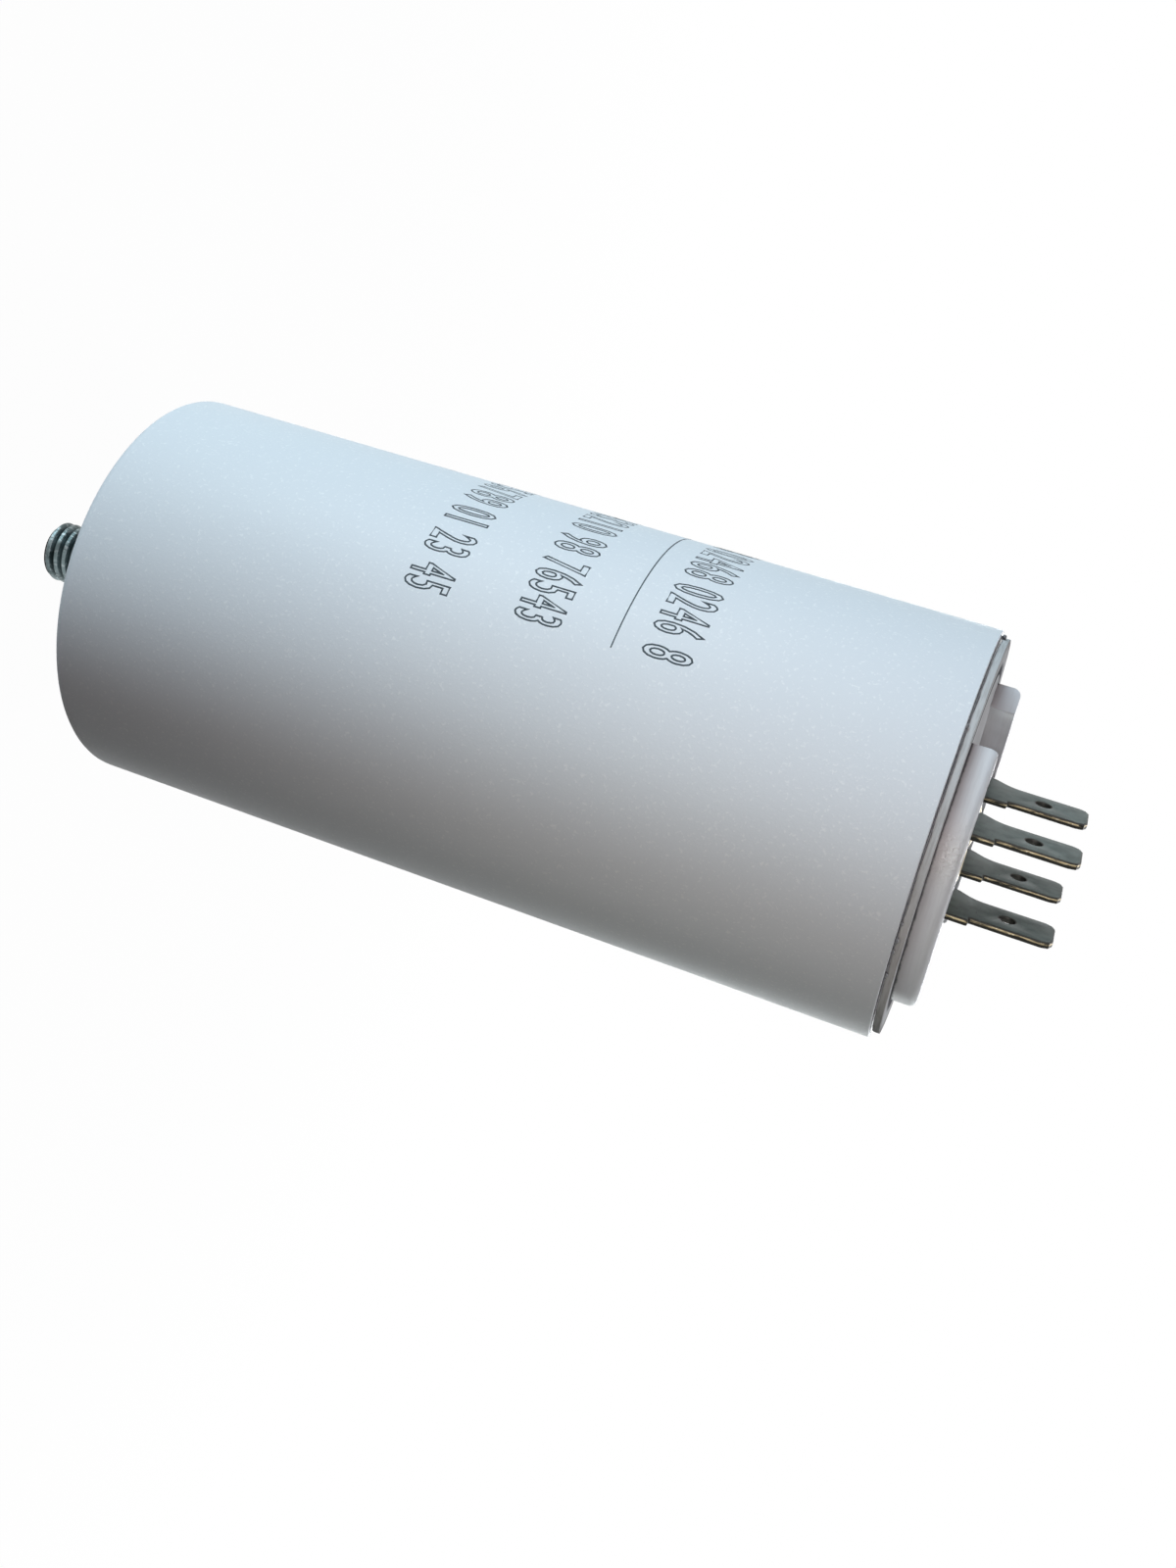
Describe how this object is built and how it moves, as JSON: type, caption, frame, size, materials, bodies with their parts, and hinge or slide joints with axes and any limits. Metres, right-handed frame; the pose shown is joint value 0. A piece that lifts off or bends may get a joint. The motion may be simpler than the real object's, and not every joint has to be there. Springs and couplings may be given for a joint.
{
  "type": "motor run capacitor",
  "caption": "Film capacitor in a round white plastic can, with a threaded fixing stud on its base and paired push-on blade terminals on its riveted lid.",
  "frame": {"origin": "centre of the can's base face, where the stud leaves it", "axes": "+Z along the can's axis towards the terminals; the two terminals stand side by side along X"},
  "size_m": [0.05, 0.05, 0.1389],
  "materials": {
    "can_plastic": "white moulded plastic, satin with a fine grain",
    "lid_plastic": "white moulded plastic, satin, a little glossier on the ring wall",
    "clear_glue": "clear adhesive, glossy",
    "zinc_plated_steel": "bright zinc plating",
    "tinned_brass": "dull grey tin over brass, brass showing on the cut edges",
    "rivet_brass": "tinned brass",
    "core_plastic": "natural plastic tube",
    "metallised_film": "metallised film, edge-wound",
    "sprayed_zinc": "rough sprayed zinc",
    "tinned_wire": "tinned copper wire",
    "sleeve_plastic": "black insulating sleeve",
    "solder": "bright solder",
    "potting_resin": "cast resin"
  },
  "bodies": {
    "root": {"can": "can_plastic", "lid": "lid_plastic", "seam_glue": "clear_glue", "fixing_stud": "zinc_plated_steel", "terminal_a": "tinned_brass", "terminal_b": "tinned_brass", "rivet_a": "rivet_brass", "rivet_b": "rivet_brass", "solder_lug_a": "tinned_brass", "solder_lug_b": "tinned_brass", "winding_core": "core_plastic", "film_winding": "metallised_film", "end_metal_upper": "sprayed_zinc", "end_metal_lower": "sprayed_zinc", "lead_upper": "tinned_wire", "lead_lower": "tinned_wire", "lead_sleeve": "sleeve_plastic", "solder_joint_upper": "solder", "solder_joint_lower": "solder", "potting_resin": "potting_resin"}
  },
  "joints": []
}
